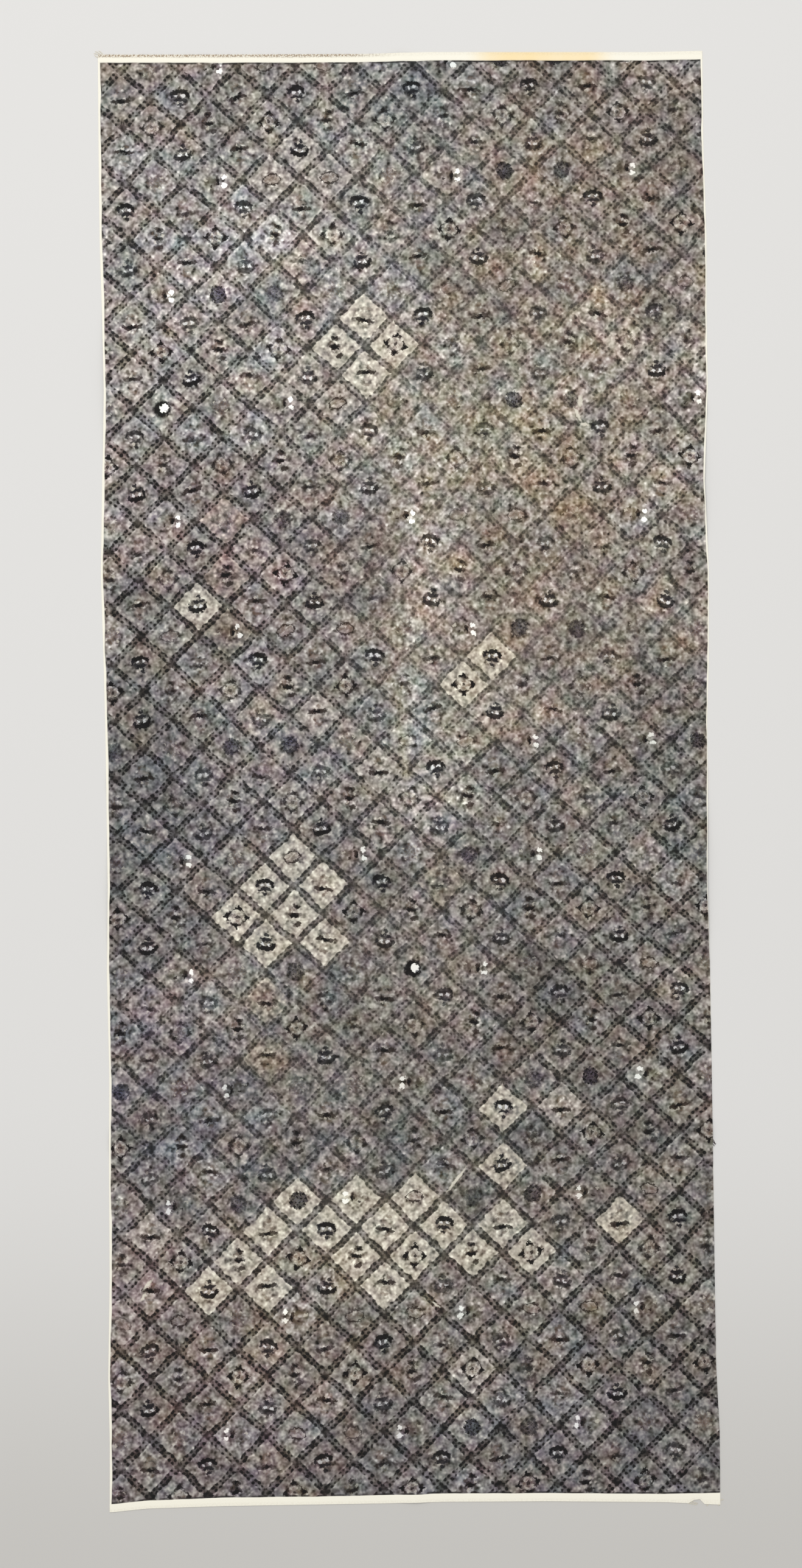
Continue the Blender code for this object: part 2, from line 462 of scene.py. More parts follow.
# The gain carries the fading and the creases' painted shade and highlights.
gain = (lightness / PLAIN_LIGHTNESS) ** EYE_POWER
bold = np.clip(patches(flat_x, flat_y, BOLD_PATCHES, 4), 0.0, 1.0)
add_numbers(cloth, "washing_and_crease_light", gain, wear, bold)
add_numbers(cloth, "cast", 0.080 * warmth - 0.014 * green, 0.032 * green, -0.080 * warmth - 0.014 * green)


# The dye
# Batik is drawn in wax on undyed cotton and dyed brown and indigo in turn, so each mark below is what
# one layer leaves: undyed cream, grey-brown filling dots, dark dotted lines and small inked figures.


class Field:
    """A number, vector or colour that changes over the cloth: one socket of a node tree.

    Plain arithmetic with it makes the math nodes that work the result out.
    """

    def __init__(self, socket):
        self.socket = socket

    def __add__(self, other):
        return calculate("ADD", self, other)

    def __radd__(self, other):
        return calculate("ADD", other, self)

    def __sub__(self, other):
        return calculate("SUBTRACT", self, other)

    def __rsub__(self, other):
        return calculate("SUBTRACT", other, self)

    def __mul__(self, other):
        return calculate("MULTIPLY", self, other)

    def __truediv__(self, other):
        return calculate("DIVIDE", self, other)

    def __neg__(self):
        return calculate("MULTIPLY", self, -1.0)


def feed(place, value):
    """Gives an input socket its value: a link from a field, or a plain number, vector or colour."""
    if isinstance(value, Field):
        place.id_data.links.new(value.socket, place)
    else:
        place.default_value = value


def add_node(kind, values, settings=None):
    """A node of the kind, with its settings, in the tree of the first field among its values.

    The values go to its inputs by name or number.
    """
    tree = next(value.socket.id_data for value in values.values() if isinstance(value, Field))
    made = tree.nodes.new(kind)
    for setting, value in (settings or {}).items():
        setattr(made, setting, value)
    for place, value in values.items():
        feed(made.inputs[place], value)
    return made


def calculate(operation, *values):
    """A math node on one, two or three fields or numbers."""
    made = add_node("ShaderNodeMath", dict(enumerate(values)), {"operation": operation})
    return Field(made.outputs[0])


def calculate_vector(operation, *values):
    """A vector math node on one, two or three vectors."""
    made = add_node("ShaderNodeVectorMath", dict(enumerate(values)), {"operation": operation})
    return Field(made.outputs["Vector"])


def rises(value, low, high):
    """0 up to low and 1 from high on, smooth between them. With low above high it falls instead."""
    values = {"Value": value, "From Min": low, "From Max": high}
    made = add_node("ShaderNodeMapRange", values, {"interpolation_type": "SMOOTHSTEP"})
    return Field(made.outputs["Result"])


def parts_of(vector):
    """The three numbers of a vector."""
    made = add_node("ShaderNodeSeparateXYZ", {"Vector": vector})
    return [Field(output) for output in made.outputs]


def vector_of(x, y, z=0.0):
    """A vector from three numbers."""
    made = add_node("ShaderNodeCombineXYZ", {"X": x, "Y": y, "Z": z})
    return Field(made.outputs[0])


def mixed(under, over, share):
    """The under colour where share is 0, and the over colour where it is 1."""
    values = {"Factor": share, 6: under, 7: over}
    made = add_node("ShaderNodeMix", values, {"data_type": "RGBA"})
    return Field(made.outputs[2])


def blended(under, over, share):
    """The same between two numbers: under + share * (over - under)."""
    values = {"Factor": share, "A": under, "B": over}
    made = add_node("ShaderNodeMix", values)
    return Field(made.outputs[0])


def seen(red, green_part, blue):
    """A colour from 0 to 255, as seen, made linear with the sRGB curve."""
    part = np.array([red, green_part, blue]) / 255
    linear = np.where(part <= 0.04045, part / 12.92, ((part + 0.055) / 1.055) ** 2.4)
    return (*linear.tolist(), 1.0)


def looked_up(index, entries):
    """Row number index of a short table of four numbers a row, as a colour and an alpha.

    The table is a colour ramp of constant steps, with one stop for each row.
    """
    place = (index + 0.5) / len(entries)
    made = add_node("ShaderNodeValToRGB", {"Fac": place})
    made.color_ramp.interpolation = "CONSTANT"
    stops = made.color_ramp.elements
    stops[1].position = 1 / len(entries)
    for number in range(2, len(entries)):
        stops.new(number / len(entries))
    for stop, entry in zip(stops, entries):
        stop.color = entry
    return Field(made.outputs["Color"]), Field(made.outputs["Alpha"])


def blend_ramp(value, stops_of_ramp):
    """A colour that changes smoothly with the value. The table's rows are a place and a colour."""
    made = add_node("ShaderNodeValToRGB", {"Fac": value})
    stops = made.color_ramp.elements
    for number, (place, colour) in enumerate(stops_of_ramp):
        if number > 1:
            stops.new(place)
        stops[number].position = place
        stops[number].color = colour
    return Field(made.outputs["Color"])


def new_group(name, inputs, outputs):
    """An empty shader node group with named inputs and outputs, and its inputs as fields."""
    group = bpy.data.node_groups.new(name, "ShaderNodeTree")
    for title, kind in inputs:
        group.interface.new_socket(name=title, in_out="INPUT", socket_type=kind)
    for title, kind in outputs:
        group.interface.new_socket(name=title, in_out="OUTPUT", socket_type=kind)
    entry = group.nodes.new("NodeGroupInput")
    leave = group.nodes.new("NodeGroupOutput")
    return group, {socket.name: Field(socket) for socket in entry.outputs if socket.name}, leave


def place_group(group, values):
    """The group placed in the tree of the first field among its values, and its outputs as fields."""
    tree = next(value.socket.id_data for value in values.values() if isinstance(value, Field))
    made = tree.nodes.new("ShaderNodeGroup")
    made.node_tree = group
    for title, value in values.items():
        feed(made.inputs[title], value)
    return {socket.name: Field(socket) for socket in made.outputs}


NUMBER = "NodeSocketFloat"
VECTOR = "NodeSocketVector"
COLOUR = "NodeSocketColor"

# Half a diamond's width and height, and the farthest that a stroke reaches from its middle.
HALF_WIDTH_MM = 50.3
HALF_HEIGHT_MM = 49.0
STROKE_REACH_MM = 30.0
BEND_REACH = 4.0


def stroke_group():
    """One stroke of the wax pen or the brush, painted over what is under it.

    The stroke is an ellipse that may be bent: with x and y in its own half lengths and half widths,
    it is where x^2 + (y - bend x^2)^2 < 1, with a soft edge.
    """
    inputs = [("Point", VECTOR), ("Place", VECTOR), ("Size", VECTOR), ("Opacity", NUMBER)]
    inputs += [("Ink", COLOUR), ("Under", COLOUR)]
    group, given, leave = new_group("painted_stroke", inputs, [("Colour", COLOUR)])
    span = 2 * STROKE_REACH_MM
    spread = (span, span, 2 * np.pi)
    start = (-STROKE_REACH_MM, -STROKE_REACH_MM, -np.pi)
    place = calculate_vector("MULTIPLY_ADD", given["Place"], spread, start)
    turn = calculate_vector("MULTIPLY", place, (0.0, 0.0, 1.0))
    size = calculate_vector("MULTIPLY", given["Size"], (STROKE_REACH_MM, STROKE_REACH_MM, 1.0))
    values = {"Vector": given["Point"], "Location": place, "Rotation": turn, "Scale": size}
    mapped = add_node("ShaderNodeMapping", values, {"vector_type": "TEXTURE"})
    x, y, _ = parts_of(Field(mapped.outputs[0]))
    _, _, bend_share = parts_of(given["Size"])
    bend = bend_share * (2 * BEND_REACH) - BEND_REACH
    x_squared = x * x
    bent = y - bend * x_squared
    inside = rises(calculate("MULTIPLY_ADD", bent, bent, x_squared), 1.35, 0.70)
    colour = mixed(given["Under"], given["Ink"], inside * given["Opacity"])
    feed(leave.inputs["Colour"], colour)
    return group


# The small figures that fill the diamonds, drawn here in strokes of their own. Each is a common one of
# the craft: a bird, a shell, a twig, a rosette, twin pearls, rings, a blossom, a pearl and a star.
# Inks: what they are called, their colour and how strongly they cover
INKS = {
    "indigo": (seen(22, 20, 24), 0.94),
    "black": (seen(14, 11, 10), 0.98),
    "plum": (seen(40, 37, 44), 0.80),
    "brown": (seen(44, 34, 28), 0.92),
    "olive": (seen(104, 95, 80), 0.42),
    "tan": (seen(104, 86, 70), 0.50),
    "shade": (seen(70, 67, 68), 0.42),
    "slate": (seen(96, 93, 102), 0.75),
    "haze": (seen(108, 98, 96), 0.26),
    "rose": (seen(164, 150, 138), 0.35),
    "cream": (seen(206, 200, 186), 0.62),
    "pearl": (seen(220, 219, 217), 0.95),
    "white": (seen(252, 251, 243), 1.00),
}

# Columns: across, up, half length, half width (mm), bend, turn (degrees), ink
FIGURES = {
    "star": (
        (0, 0, 14.5, 14.0, 0, 0, "haze"),
        (12.5, 0, 2.2, 1.6, 0, 0, "tan"),
        (7.4, 2.6, 2.4, 1.5, 0, 20, "tan"),
        (9.6, 8.4, 1.9, 1.5, 0, 45, "cream"),
        (3.2, 0, 1.8, 1.5, 0, 45, "tan"),
    ),
    "rings": (
        (0, 0, 13.2, 8.9, 0, 8, "rose"),
        (-1.0, 9.2, 12.5, 1.6, -3.0, 8, "brown"),
        (1.0, -9.2, 12.5, 1.6, 3.0, 8, "brown"),
        (14.6, 2.2, 5.6, 1.5, 1.8, 98, "brown"),
        (-14.6, -2.2, 5.6, 1.5, -1.8, 98, "brown"),
        (-6, -1.0, 6.5, 1.5, 1.0, 28, "tan"),
        (6, 2.5, 5.6, 1.4, -1.0, 24, "tan"),
    ),
    "blossom": (
        (0, 0, 11.8, 11.6, 0, 0, "plum"),
        (12.4, 0, 3.0, 2.9, 0, 0, "plum"),
        (8.9, 8.9, 3.0, 2.9, 0, 45, "plum"),
        (11.6, 4.9, 2.4, 2.4, 0, 22, "black"),
        (8.4, 0, 1.2, 1.9, 0, 0, "black"),
        (5.2, 1.6, 1.2, 1.2, 0, 0, "slate"),
        (0, 0, 2.0, 2.0, 0, 0, "slate"),
        (3.6, 3.6, 1.5, 1.2, 0, 45, "black"),
    ),
    "pearl": (
        (-1.8, -0.6, 15.2, 14.2, 0, 0, "black"),
        (1.6, 0.4, 7.6, 7.2, 0, 0, "white"),
        (6.0, -4.4, 2.4, 1.0, 0, 30, "slate"),
    ),
    "twin_pearls": (
        (-3, 0, 14.0, 11.5, 0, 0, "olive"),
        (9.0, 1.0, 3.8, 7.2, 0, 0, "brown"),
        (10.0, -1.0, 2.2, 4.2, 0, 0, "black"),
        (20.4, 7.4, 4.3, 4.1, 0, 0, "white"),
        (20.4, -6.6, 4.6, 4.2, 0, 0, "white"),
        (-13, 5, 3.4, 2.4, 0, 0, "cream"),
        (-4, -6, 2.8, 1.8, 0, 20, "brown"),
    ),
    "bird": (
        (0, 5.5, 9.0, 4.0, 0, 0, "rose"),
        (-7.2, -5.4, 10.0, 3.9, 0.6, 3, "brown"),
        (7.2, -4.4, 10.0, 3.7, -0.5, -2, "brown"),
        (-1, -4.8, 7.0, 2.6, 0, 2, "black"),
        (-1, 16.6, 7.6, 3.0, -0.6, 8, "tan"),
        (-6, 10, 2.8, 2.0, 0, 40, "tan"),
        (3, -14, 4.4, 2.4, 0, 30, "tan"),
        (-3.6, -11, 2.6, 2.0, 0, 0, "cream"),
    ),
    "shell": (
        (0, 0.5, 15.0, 11.5, 0, 0, "shade"),
        (-0.5, 9.4, 15.8, 4.3, -0.7, 0, "black"),
        (13.0, 2.8, 5.6, 3.2, 0, -76, "black"),
        (-13.0, 2.8, 4.4, 2.6, 0, 76, "indigo"),
        (0.5, -5.2, 10.6, 3.3, -0.6, 0, "indigo"),
        (0.6, -14.0, 4.0, 3.4, 0, 0, "indigo"),
        (-5.4, 1.6, 2.7, 2.3, 0, 10, "pearl"),
        (5.2, 2.2, 3.0, 2.4, 0, -12, "pearl"),
        (-3.6, -10.2, 2.6, 2.0, 0, 0, "cream"),
    ),
    "twig": (
        (-3.5, 2, 13.0, 1.6, 1.3, 84, "tan"),
        (1.5, 15.8, 7.4, 4.3, 0.4, -12, "brown"),
        (2.0, 16.2, 3.8, 2.4, 0, -12, "black"),
        (-0.5, 1.0, 10.2, 4.4, 0.4, -4, "brown"),
        (-0.5, 0.8, 7.2, 3.0, 0, -4, "black"),
        (4.8, -13.8, 6.8, 4.0, 0, 16, "brown"),
        (8, 7, 2.8, 2.0, 0, 0, "cream"),
        (-4, -6, 2.8, 2.2, 0, 0, "cream"),
        (-9, 9, 3.4, 2.0, 0, 60, "tan"),
    ),
    "rosette": (
        (0, 0, 9.4, 9.4, 0, 0, "rose"),
        (15.2, 0, 8.6, 3.1, 1.5, 90, "brown"),
        (15.8, 0, 5.4, 2.3, 1.2, 90, "black"),
        (18.8, 0, 2.6, 2.3, 0, 0, "black"),
        (6.0, 0, 1.7, 2.2, 0, 0, "tan"),
        (5.8, 5.8, 2.1, 2.1, 0, 0, "cream"),
        (0, 0, 2.8, 2.8, 0, 0, "brown"),
    ),
}
FIGURE_NAMES = list(FIGURES)
STROKES = 9
FOURFOLD = ("blossom", "star", "rosette")

# The order of the figures: four slanting rows take turns, and in each row two figures do. The fourth
# row holds what the filler chart says. Columns: figure, and 1 where it is upside down
FIGURE_TURNS = (
    ("bird", 0),
    ("shell", 0),
    ("twig", 0),
    ("rosette", 0),
    ("shell", 1),
    ("bird", 1),
)

# The figures of every fourth row, from the top row down and from left to right.
FILLER_LETTERS = {"X": "star", "R": "rings", "B": "blossom", "P": "pearl", "T": "twin_pearls"}
FILLER_CHART = (
    "XXTRRXTBBTXX",
    "XTBBXXRRXBRX",
    "XPXTRRXBBXTX",
    "XTXBBTRRXTXX",
    "XRTRRXTBBXXX",
    "BXBBXRRTXTBX",
    "XTXRTXBTXXXX",
    "XTXBXPTXRRXX",
    "BXTXXTXBBTXX",
    "XTBBTRBBTRXX",
    "RRXTRRTRRTXX",
    "XXTRRTBBTXXX",
)
FIRST_FILLER_ROW = -5
LAST_RIGHT_HANDED_ROW = 25

# The diamonds that were left pale. A row is one slanting column of diamonds, and its letters go down
# it: C cream, P peach, H half pale, B browner than the rest.
PALE_LETTERS = {"C": (1, 0, 0), "P": (1, 1, 0), "H": (0, 1, 0), "B": (0, 0, 1)}
FIRST_PALE_COLUMN = -5
FIRST_PALE_PLACE = -2
PALE_CHART = (
    ".......................",
    "HH.....................",
    "H......................",
    ".......................",
    ".......................",
    "..CC...................",
    "..CCH...B..............",
    ".........BC............",
    "..........B............",
    ".......................",
    ".......................",
    "..........H............",
    "..B............B.......",
    "..B...PC..H..CCC.......",
    ".............CCC.......",
    "..............C.B......",
    "...........B.....B.....",
    "......................H",
    ".......................",
    "........B..........CCCC",
    "..................CC.C.",
    "..............P..CCC...",
    "...........B.H.P.CCC...",
    "................CC.....",
    "................C......",
    "..............P....H...",
    ".......................",
)


def bits(chart, letters, plane):
    """Each row of the chart as one number below 1, whose binary places are 1 where the letter's is."""
    values = []
    for line in chart:
        marks = [letters.get(letter, (0, 0, 0))[plane] for letter in line]
        values.append(sum(mark * 0.5 ** (place + 1) for place, mark in enumerate(marks)))
    return values


def charted(chart, letters, row, place):
    """What the chart's letter at a row and a place stands for: three numbers that are 0 or 1.

    The row's number is shifted up by place binary places, and its whole part is odd where the mark is.
    """
    planes = [bits(chart, letters, plane) for plane in range(3)]
    entries = [(*line, 1.0) for line in zip(*planes)]
    code, _ = looked_up(row, entries)
    shifted = calculate("POWER", 2.0, place + 1.0)
    scaled = add_node("ShaderNodeVectorMath", {0: code, "Scale": shifted}, {"operation": "SCALE"})
    whole = calculate_vector("FLOOR", Field(scaled.outputs["Vector"]))
    return calculate_vector("MODULO", whole, (2.0, 2.0, 2.0))


def stroke_tables(number):
    """The place, size and ink of stroke number `number` of each figure, packed as shares from 0 to 1."""
    places, sizes, inks = [], [], []
    for name in FIGURE_NAMES:
        strokes = FIGURES[name]
        if number < len(strokes):
            across, up, half_length, half_width, bend, turn, ink = strokes[number]
            colour, opacity = INKS[ink]
        else:
            across, up, half_length, half_width, bend, turn = 0, 0, 1, 1, 0, 0
            colour, opacity = INKS["black"][0], 0.0
        span = 2 * STROKE_REACH_MM
        places.append((across / span + 0.5, up / span + 0.5, turn / 360 + 0.5, opacity))
        bend_share = bend / (2 * BEND_REACH) + 0.5
        sizes.append((half_length / STROKE_REACH_MM, half_width / STROKE_REACH_MM, bend_share, 1.0))
        inks.append(colour)
    return places, sizes, inks


def number_attribute(tree, name):
    """The three numbers of a named attribute of the piece, as a vector."""
    made = tree.nodes.new("ShaderNodeAttribute")
    made.attribute_name = name
    return Field(made.outputs["Vector"])


def uv_numbers(tree, name):
    """The two numbers of one of the piece's UV maps, as a vector."""
    made = tree.nodes.new("ShaderNodeUVMap")
    made.uv_map = name
    return Field(made.outputs["UV"])


def noise(vector, scale, detail, dimensions="2D", roughness=0.5):
    """A soft noise from 0 to 1 and one of three numbers, both with features of about 1/scale."""
    values = {"Vector": vector, "Scale": scale, "Detail": detail, "Roughness": roughness}
    made = add_node("ShaderNodeTexNoise", values, {"noise_dimensions": dimensions})
    return Field(made.outputs["Fac"]), Field(made.outputs["Color"])


# The greys of the dyed cloth, from its darkest mark to bare cotton.
# Columns: tone, colour
DYE_TONES = (
    (0.00, seen(9, 8, 7)),
    (0.12, seen(35, 30, 24)),
    (0.25, seen(69, 63, 57)),
    (0.40, seen(107, 101, 95)),
    (0.55, seen(147, 141, 135)),
    (0.75, seen(197, 191, 184)),
    (1.00, seen(253, 251, 243)),
)
UNDYED = seen(247, 243, 228)
RIM_BROWN = seen(158, 142, 124)
RUST = seen(248, 222, 166)

# Tones of the grey filling, the pale diamonds and the lines.
FILLING_TONE = 0.521
CREAM_TONE = 0.675
HALF_PALE_TONE = 0.58
BAND_GROUND_TONE = 0.415
BAND_DOT_TONE = 0.07
SOLID_CROSSING_TONE = 0.16
HATCHED_CROSSING_TONE = 0.30

# Tints of the diamonds that were left pale or are browner than the rest.
CREAM_TINT = (1.03, 1.02, 0.935, 1.0)
HALF_PALE_TINT = (1.015, 1.00, 0.985, 1.0)
BROWN_TINT = (1.06, 1.00, 0.94, 1.0)
PLAIN_TINT = (1.0, 1.0, 1.0, 1.0)

GRAIN_PER_METRE = 112.0
BLOTS_PER_METRE = 42.0
FILLING_DOTS_PER_DIAMOND = 11.0
FILLING_ROWS_PER_DIAMOND = 3.7
BAND_LINKS_PER_DIAMOND = 8.0
HALF_BAND = 0.083

# The dots' half length along the line, in links, and their half width and place across it, in half lines.
BAND_DOT_LENGTH = 0.29
BAND_DOT_WIDTH = 0.40
BAND_DOT_PLACE = 0.66
BAND_EDGE = 0.014

# Tints that diamonds take by chance: greenish, bluish, neutral, brown and rosy.
DIAMOND_TINTS = (
    (0.992, 1.008, 0.982, 1.0),
    (0.980, 1.000, 1.025, 1.0),
    (1.000, 1.000, 1.000, 1.0),
    (1.025, 1.000, 0.972, 1.0),
    (1.018, 0.990, 1.000, 1.0),
)

# Where wax or bleach left pale streaks and spots.
# Columns: place across, place along, half length, half width, turn in degrees
STREAKS = (
    (0.3050, 0.6490, 0.0105, 0.0048, 80),
    (0.3010, 0.6262, 0.0150, 0.0024, -63),
    (0.3145, 0.6092, 0.0090, 0.0025, -14),
    (0.0780, -0.6920, 0.0275, 0.0026, 51),
    (-0.4590, -0.8643, 0.0125, 0.0026, 50),
    (-0.4663, -0.8853, 0.0085, 0.0028, 60),
    (0.0390, -0.9080, 0.0080, 0.0018, -35),
)


def new_material(name):
    """A material with nothing but its output node, and its tree."""
    material = bpy.data.materials.new(name)
    material.use_nodes = True
    tree = material.node_tree
    tree.nodes.clear()
    tree.nodes.new("ShaderNodeOutputMaterial")
    return material, tree


def finish_material(tree, colour, roughness, normal=None, **fixed):
    """Ends a material in one Principled BSDF, with its colour, roughness, normal and fixed values."""
    shader = tree.nodes.new("ShaderNodeBsdfPrincipled")
    feed(shader.inputs["Base Color"], colour)
    feed(shader.inputs["Roughness"], roughness)
    if normal is not None:
        feed(shader.inputs["Normal"], normal)
    for title, value in fixed.items():
        shader.inputs[title.replace("_", " ")].default_value = value
    out = next(item for item in tree.nodes if item.type == "OUTPUT_MATERIAL")
    tree.links.new(shader.outputs["BSDF"], out.inputs["Surface"])


def weave_group():
    """The plain weave's height: one thread over and one under, sin(warp) * sin(weft)."""
    inputs = [("Place", VECTOR), ("Thread", NUMBER)]
    group, given, leave = new_group("plain_weave", inputs, [("Height", NUMBER)])
    turns = calculate_vector("MULTIPLY", given["Place"], vector_of(given["Thread"], given["Thread"]))
    x, y, _ = parts_of(turns)
    threads = calculate("SINE", x) * calculate("SINE", y)
    feed(leave.inputs["Height"], threads * 0.5 + 0.5)
    return group


WEAVE = weave_group()
THREAD_PITCH = 0.0011
WEAVE_HEIGHT = 0.00012
STROKE = stroke_group()


def woven_normal(place, strength):
    """The normal of plain-woven cotton: a bump of the weave's height."""
    woven = place_group(WEAVE, {"Place": place, "Thread": np.pi / THREAD_PITCH})
    values = {"Height": woven["Height"], "Strength": strength, "Distance": WEAVE_HEIGHT}
    return Field(add_node("ShaderNodeBump", values).outputs["Normal"])


def batik_material():
    """The dyed cotton, layer by layer, as its maker built it up."""
    material, tree = new_material("wax_dyed_cotton")
    drawing = uv_numbers(tree, "drawing")
    laid = uv_numbers(tree, "laid")

    # The hand that drew the lines was never quite steady.
    _, tremble = noise(drawing, 2.2, 2.0)
    tremble = calculate_vector("SUBTRACT", tremble, (0.5, 0.5, 0.5))
    line = calculate_vector("MULTIPLY_ADD", tremble, (0.10, 0.10, 0.0), drawing)
    u, v, _ = parts_of(line)

    # Which diamond this is, and where in it.
    i = calculate("ROUND", u)
    j = calculate("ROUND", v)
    across = u - i
    down = v - j
    row = i + j
    local_x = (across - down) * HALF_WIDTH_MM
    local_y = (across + down) * -HALF_HEIGHT_MM
    chance = add_node("ShaderNodeTexWhiteNoise", {"Vector": vector_of(i, j)}, {"noise_dimensions": "2D"})
    luck = Field(chance.outputs["Value"])
    lucks = Field(chance.outputs["Color"])
    first, second, third = parts_of(lucks)

    # What fills it.
    step = calculate("FLOORED_MODULO", row, 4.0)
    cycle = calculate("FLOOR", row / 4.0)
    twin = calculate("FLOORED_MODULO", i - cycle * 3.0, 2.0)
    turns = [(FIGURE_NAMES.index(name) / 16, flip, 0.0, 1.0) for name, flip in FIGURE_TURNS]
    turn, _ = looked_up(step * 2.0 + twin, turns)
    turn_figure, upside_down, _ = parts_of(turn)
    filler_bits = {letter: FIGURE_NAMES.index(name) for letter, name in FILLER_LETTERS.items()}
    filler_bits = {letter: (n % 2, n // 2 % 2, n // 4) for letter, n in filler_bits.items()}
    filler_row = (row - FIRST_FILLER_ROW) / 4.0
    filler_place = i - (row + 1.0) / 2.0 + 5.0
    ones, twos, fours = parts_of(charted(FILLER_CHART, filler_bits, filler_row, filler_place))
    filler = ones + twos * 2.0 + fours * 4.0
    is_filler = calculate("GREATER_THAN", step, 2.5)
    figure = blended(turn_figure * 16.0, filler, is_filler)
    flip_y = calculate("MULTIPLY_ADD", upside_down * (1.0 - is_filler), -2.0, 1.0)
    left_handed = calculate("GREATER_THAN", row, LAST_RIGHT_HANDED_ROW) * is_filler
    flip_x = calculate("MULTIPLY_ADD", left_handed, -2.0, 1.0)

    # The pale diamonds. A peach one is cream and half pale at once.
    pale_marks = charted(PALE_CHART, PALE_LETTERS, i - FIRST_PALE_COLUMN, j - FIRST_PALE_PLACE)
    cream, half_pale, browner = parts_of(pale_marks)
    pale = calculate("MAXIMUM", cream, half_pale)

    # The washing and the creases' painted shade and highlights, and the grain that the washing left.
    fading_and_crease_light, worn, bold = parts_of(number_attribute(tree, "washing_and_crease_light"))
    cast = number_attribute(tree, "cast")
    cloud, clouds = noise(laid, 14.0, 2.0)
    grain, _ = noise(laid, GRAIN_PER_METRE, 1.5, roughness=0.45)
    grain = grain - 0.5
    blot, _ = noise(laid, BLOTS_PER_METRE, 1.0)
    blot = blot - 0.5

    # The filling: rows of fine wax dots, some of which the dye ran over.
    cells = add_node(
        "ShaderNodeTexVoronoi",
        {"Vector": line, "Scale": FILLING_DOTS_PER_DIAMOND, "Randomness": 0.6},
        {"voronoi_dimensions": "2D"},
    )
    dot_luck = parts_of(Field(cells.outputs["Color"]))[0]
    dot = rises(Field(cells.outputs["Distance"]), 0.66, 0.0)
    dots = dot * (dot_luck - 0.5)
    pale_tone = blended(HALF_PALE_TONE, CREAM_TONE - half_pale * 0.02, cream)
    to_right, to_left, _ = parts_of(clouds)
    rows_u = calculate("SINE", u * (2 * np.pi * FILLING_ROWS_PER_DIAMOND) + to_right * 9.0)
    rows_v = calculate("SINE", v * (2 * np.pi * FILLING_ROWS_PER_DIAMOND) + to_left * 9.0)
    speckle = grain * 0.62 + dots * 0.36 + blot * 0.16 + (rows_u + rows_v) * 0.028

    # It is darker and more broken in a smaller diamond round the figure.
    from_middle = calculate("MAXIMUM", calculate("ABSOLUTE", across), calculate("ABSOLUTE", down))
    near = rises(from_middle + grain * 0.10, 0.27, 0.20)
    tone = speckle * (1.0 + near * 0.45) + blended(FILLING_TONE, pale_tone, pale) - near * 0.048
    tint, _ = looked_up(third * 4.999 - 0.5, DIAMOND_TINTS)
    tint = mixed(tint, PLAIN_TINT, pale * 0.7)
    tint = calculate_vector("MULTIPLY", tint, mixed(PLAIN_TINT, CREAM_TINT, cream))
    tint = calculate_vector("MULTIPLY", tint, mixed(PLAIN_TINT, HALF_PALE_TINT, half_pale))
    tint = calculate_vector("MULTIPLY", tint, mixed(PLAIN_TINT, BROWN_TINT, browner))
    colour = calculate_vector("MULTIPLY", blend_ramp(tone, DYE_TONES), tint)

    # The figure in the middle, a little off its place and turned by chance.
    point = vector_of(local_x, local_y)
    offset = calculate_vector("MULTIPLY_ADD", lucks, (-4.0, -4.0, 0.0), (2.0, 2.0, 0.0))
    point = calculate_vector("ADD", point, offset)
    angle = (luck - 0.5) * 0.45
    values = {"Vector": point, "Angle": angle}
    turned = add_node("ShaderNodeVectorRotate", values, {"rotation_type": "Z_AXIS"})
    _, ragged = noise(drawing, 15.0, 1.0)
    ragged = calculate_vector("MULTIPLY_ADD", ragged, (7.0, 7.0, 0.0), (-3.5, -3.5, 0.0))
    point = calculate_vector("ADD", Field(turned.outputs[0]), ragged)
    x, y, _ = parts_of(point)
    x = x * flip_x
    y = y * flip_y
    folds = [(float(name in FOURFOLD), 0.0, 0.0, 1.0) for name in FIGURE_NAMES]
    fourfold = parts_of(looked_up(figure, folds)[0])[0]
    x_size = calculate("ABSOLUTE", x)
    y_size = calculate("ABSOLUTE", y)
    x = blended(x, calculate("MAXIMUM", x_size, y_size), fourfold)
    y = blended(y, calculate("MINIMUM", x_size, y_size), fourfold)
    point = vector_of(x, y)
    strength = calculate("MINIMUM", 0.55 + second * 0.60 + bold * 0.20, 1.0) * (1.0 - worn * 0.12)
    pearly = calculate("LESS_THAN", calculate("ABSOLUTE", figure - 3.5), 1.0)
    strength = blended(strength, 1.0, calculate("MAXIMUM", pale, pearly))
    for number in range(STROKES):
        places, sizes, inks = stroke_tables(number)
        place, opacity = looked_up(figure, places)
        size, _ = looked_up(figure, sizes)
        ink, _ = looked_up(figure, inks)
        values = {"Point": point, "Place": place, "Size": size, "Opacity": opacity * strength}
        values.update({"Ink": ink, "Under": colour})
        colour = place_group(STROKE, values)["Colour"]

    # The lines between the diamonds: a brown-grey ground with a row of small dark dots along each side.
    to_u = 0.5 - calculate("ABSOLUTE", across)
    to_v = 0.5 - calculate("ABSOLUTE", down)
    nearest = calculate("MINIMUM", to_u, to_v)
    along = blended(u, v, calculate("LESS_THAN", to_u, to_v))
    rung = (calculate("FRACT", along * BAND_LINKS_PER_DIAMOND) - 0.5) / BAND_DOT_LENGTH
    reach = nearest / HALF_BAND
    out_of_row = (reach - BAND_DOT_PLACE) / BAND_DOT_WIDTH
    from_dot = calculate("MULTIPLY_ADD", rung, rung, out_of_row * out_of_row) + grain * 2.4 + blot * 2.6
    link = rises(from_dot, 1.9, 0.3)
    band_tone = blended(BAND_GROUND_TONE, BAND_DOT_TONE, link) + grain * 0.62 + blot * 0.52 - bold * 0.075

